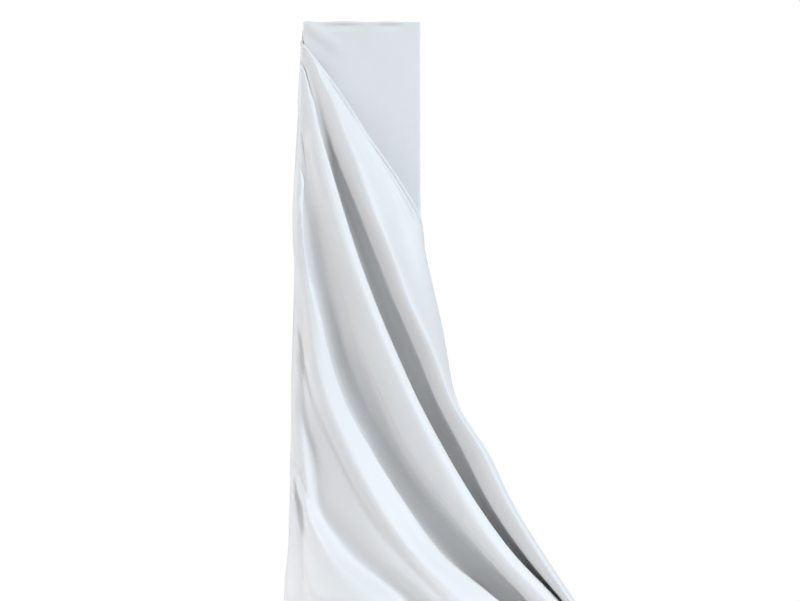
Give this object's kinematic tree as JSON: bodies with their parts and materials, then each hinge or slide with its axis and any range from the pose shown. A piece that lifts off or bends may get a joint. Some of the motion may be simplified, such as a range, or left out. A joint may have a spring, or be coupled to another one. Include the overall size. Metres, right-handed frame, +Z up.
{
  "type": "draped display column",
  "caption": "Square display column in a fitted white satin sleeve with a lift-out lid, and a pleated satin swag falling diagonally across the front.",
  "frame": {"origin": "on the floor under the middle of the square column, on the felt pad's underside", "axes": "+Z up the column, +X to the right as seen from the front, -Y towards the viewer, out of the draped front face"},
  "size_m": [0.9644, 0.472, 1.2],
  "materials": {
    "swag_satin": "satin",
    "sleeve_satin": "satin",
    "felt": "matte",
    "plywood": "matte",
    "softwood": "matte",
    "steel_plate": "satin",
    "zinc_screw": "satin",
    "grommet_metal": "polished",
    "strip_paint": "satin"
  },
  "bodies": {
    "column": {"felt_pad": "felt", "base_plate": "steel_plate", "base_board": "plywood", "base_screw_front_left": "zinc_screw", "base_screw_front_right": "zinc_screw", "base_screw_back_left": "zinc_screw", "base_screw_back_right": "zinc_screw", "front_panel": "plywood", "back_panel": "plywood", "left_panel": "plywood", "right_panel": "plywood", "batten_front_left": "softwood", "batten_front_right": "softwood", "batten_back_left": "softwood", "batten_back_right": "softwood", "fitted_sleeve": "sleeve_satin", "back_placket": "sleeve_satin", "clamp_strip": "strip_paint", "clamp_screw_front": "strip_paint", "clamp_screw_middle": "strip_paint", "clamp_screw_back": "strip_paint", "swag": "swag_satin"},
    "lid": {"lid_board": "plywood", "lid_cover": "sleeve_satin", "lid_grommet": "grommet_metal"}
  },
  "joints": [
    {"name": "lid_lift", "type": "slide", "parent": "column", "child": "lid", "axis": [0, 0, 1], "range_m": [0, 0.15]}
  ]
}
